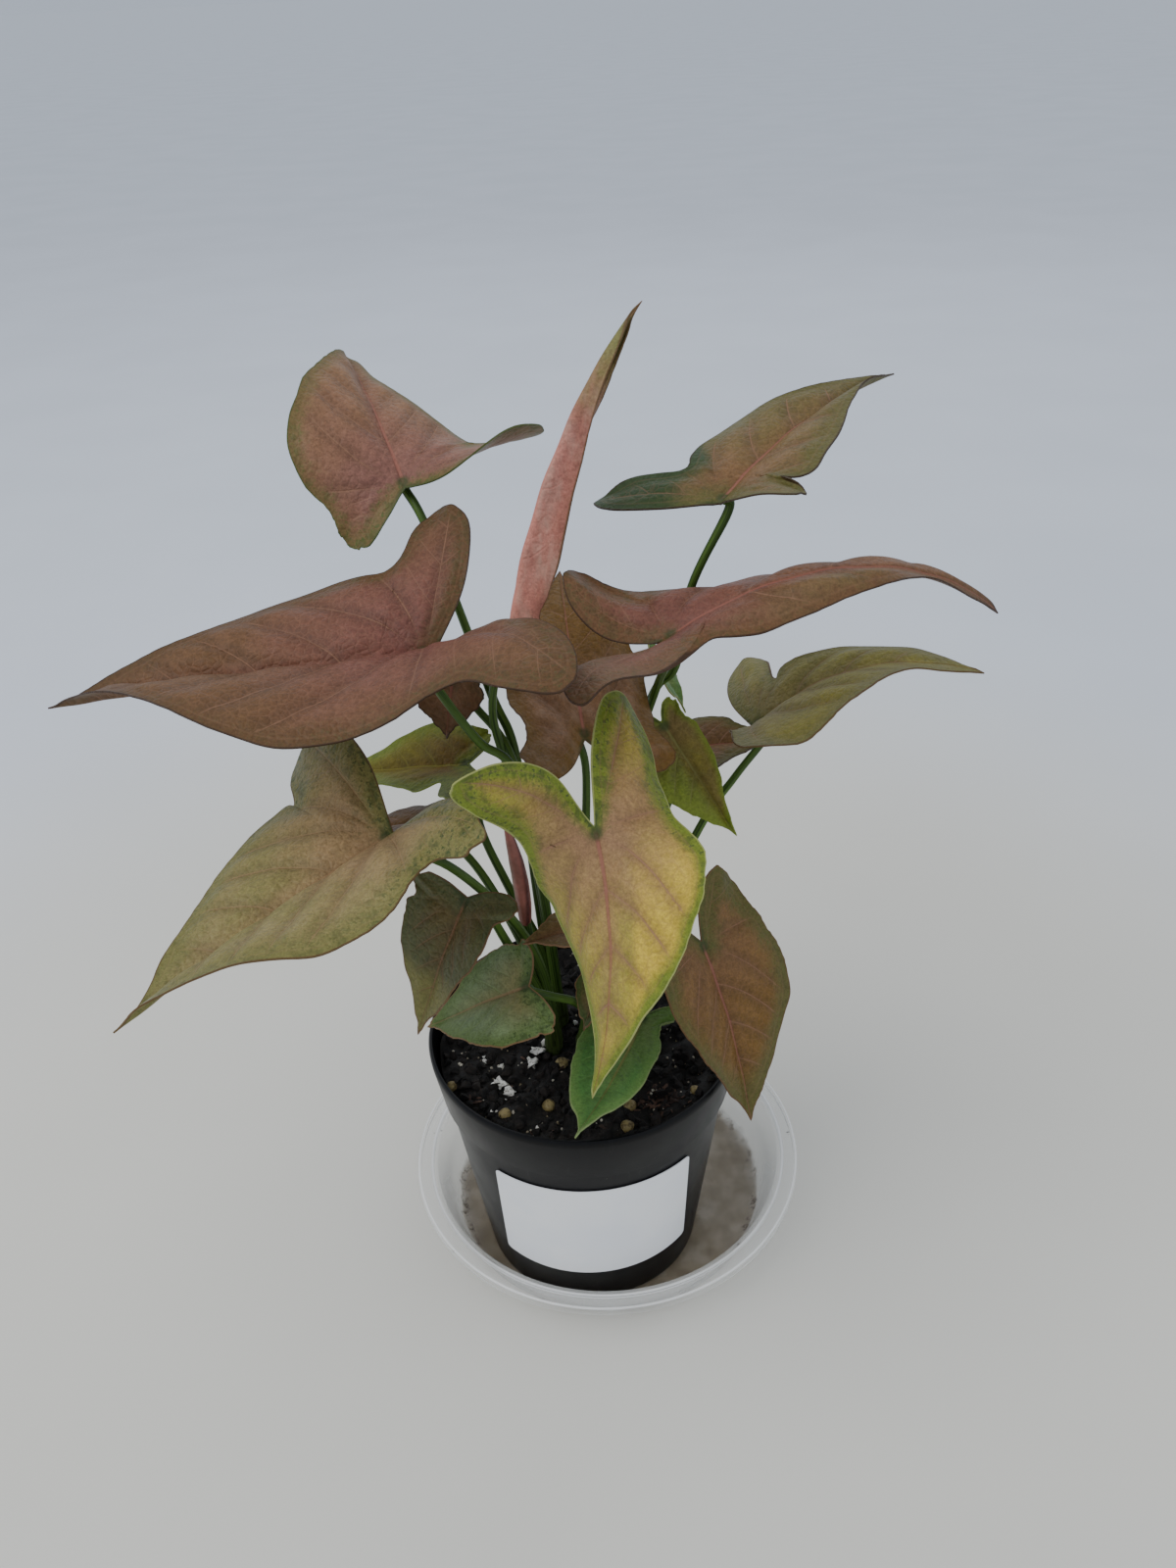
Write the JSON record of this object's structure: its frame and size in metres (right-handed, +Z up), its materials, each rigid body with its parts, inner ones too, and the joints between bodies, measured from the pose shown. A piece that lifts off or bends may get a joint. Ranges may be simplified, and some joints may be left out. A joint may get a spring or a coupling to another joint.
{
  "type": "arrowhead plant in a pot with a saucer",
  "caption": "Arrowhead house plant with long-stalked, lobed leaves in mauve, olive and green, in a black nursery pot with a bare label, standing in a clear plastic saucer.",
  "frame": {"origin": "where the pot's axis meets the surface under the saucer", "axes": "+Z up along the pot's axis, -Y towards the label and the viewer, +X to the viewer's right"},
  "size_m": [0.2887, 0.2033, 0.332],
  "materials": {
    "clear_plastic": "clear, lightly frosted plastic with dried water marks",
    "black_plastic": "semi-matte black moulded plastic",
    "white_card": "bare white film, satin",
    "soil_mix": "damp dark potting mix with pale grains",
    "stalk_green": "smooth green stalk",
    "spear_pink": "waxy pink new leaf",
    "blade_mauve": "waxy mauve-brown leaf",
    "blade_pink_back": "waxy leaf, pink under face",
    "blade_olive": "waxy olive and tan leaf",
    "blade_golden": "waxy yellow-green leaf with a pink middle",
    "blade_sage": "waxy sage leaf with a pinkish middle",
    "blade_dark": "waxy dark green-brown leaf",
    "blade_grey_green": "waxy grey-green leaf",
    "blade_green": "waxy fresh green leaf",
    "blade_brown": "waxy red-brown leaf with an olive margin"
  },
  "bodies": {
    "root": {"saucer": "clear_plastic", "pot": "black_plastic", "label": "white_card", "soil": "soil_mix", "stalks_left_back": "stalk_green", "stalks_left_front": "stalk_green", "stalks_centre_front": "stalk_green", "stalks_right_back": "stalk_green", "stalks_right_front": "stalk_green", "leaf_upper_left": "blade_mauve", "leaf_big_left": "blade_mauve", "leaf_folded_top": "blade_pink_back", "leaf_upper_right": "blade_olive", "leaf_long_right": "blade_mauve", "leaf_mid_right": "blade_olive", "leaf_front": "blade_golden", "leaf_lower_left": "blade_sage", "leaf_dark_left": "blade_dark", "leaf_heart_small": "blade_grey_green", "leaf_low_green": "blade_green", "leaf_lower_right": "blade_brown", "leaf_centre": "blade_mauve", "leaf_yellow_left": "blade_golden", "leaf_drooping_right": "blade_olive", "leaf_behind_right": "blade_mauve", "leaf_behind_left": "blade_mauve", "leaf_under_left": "blade_mauve", "leaf_sliver_green": "blade_green", "leaf_tiny_brown": "blade_brown", "leaf_low_brown": "blade_brown", "spear_new_leaf": "spear_pink"}
  },
  "joints": []
}
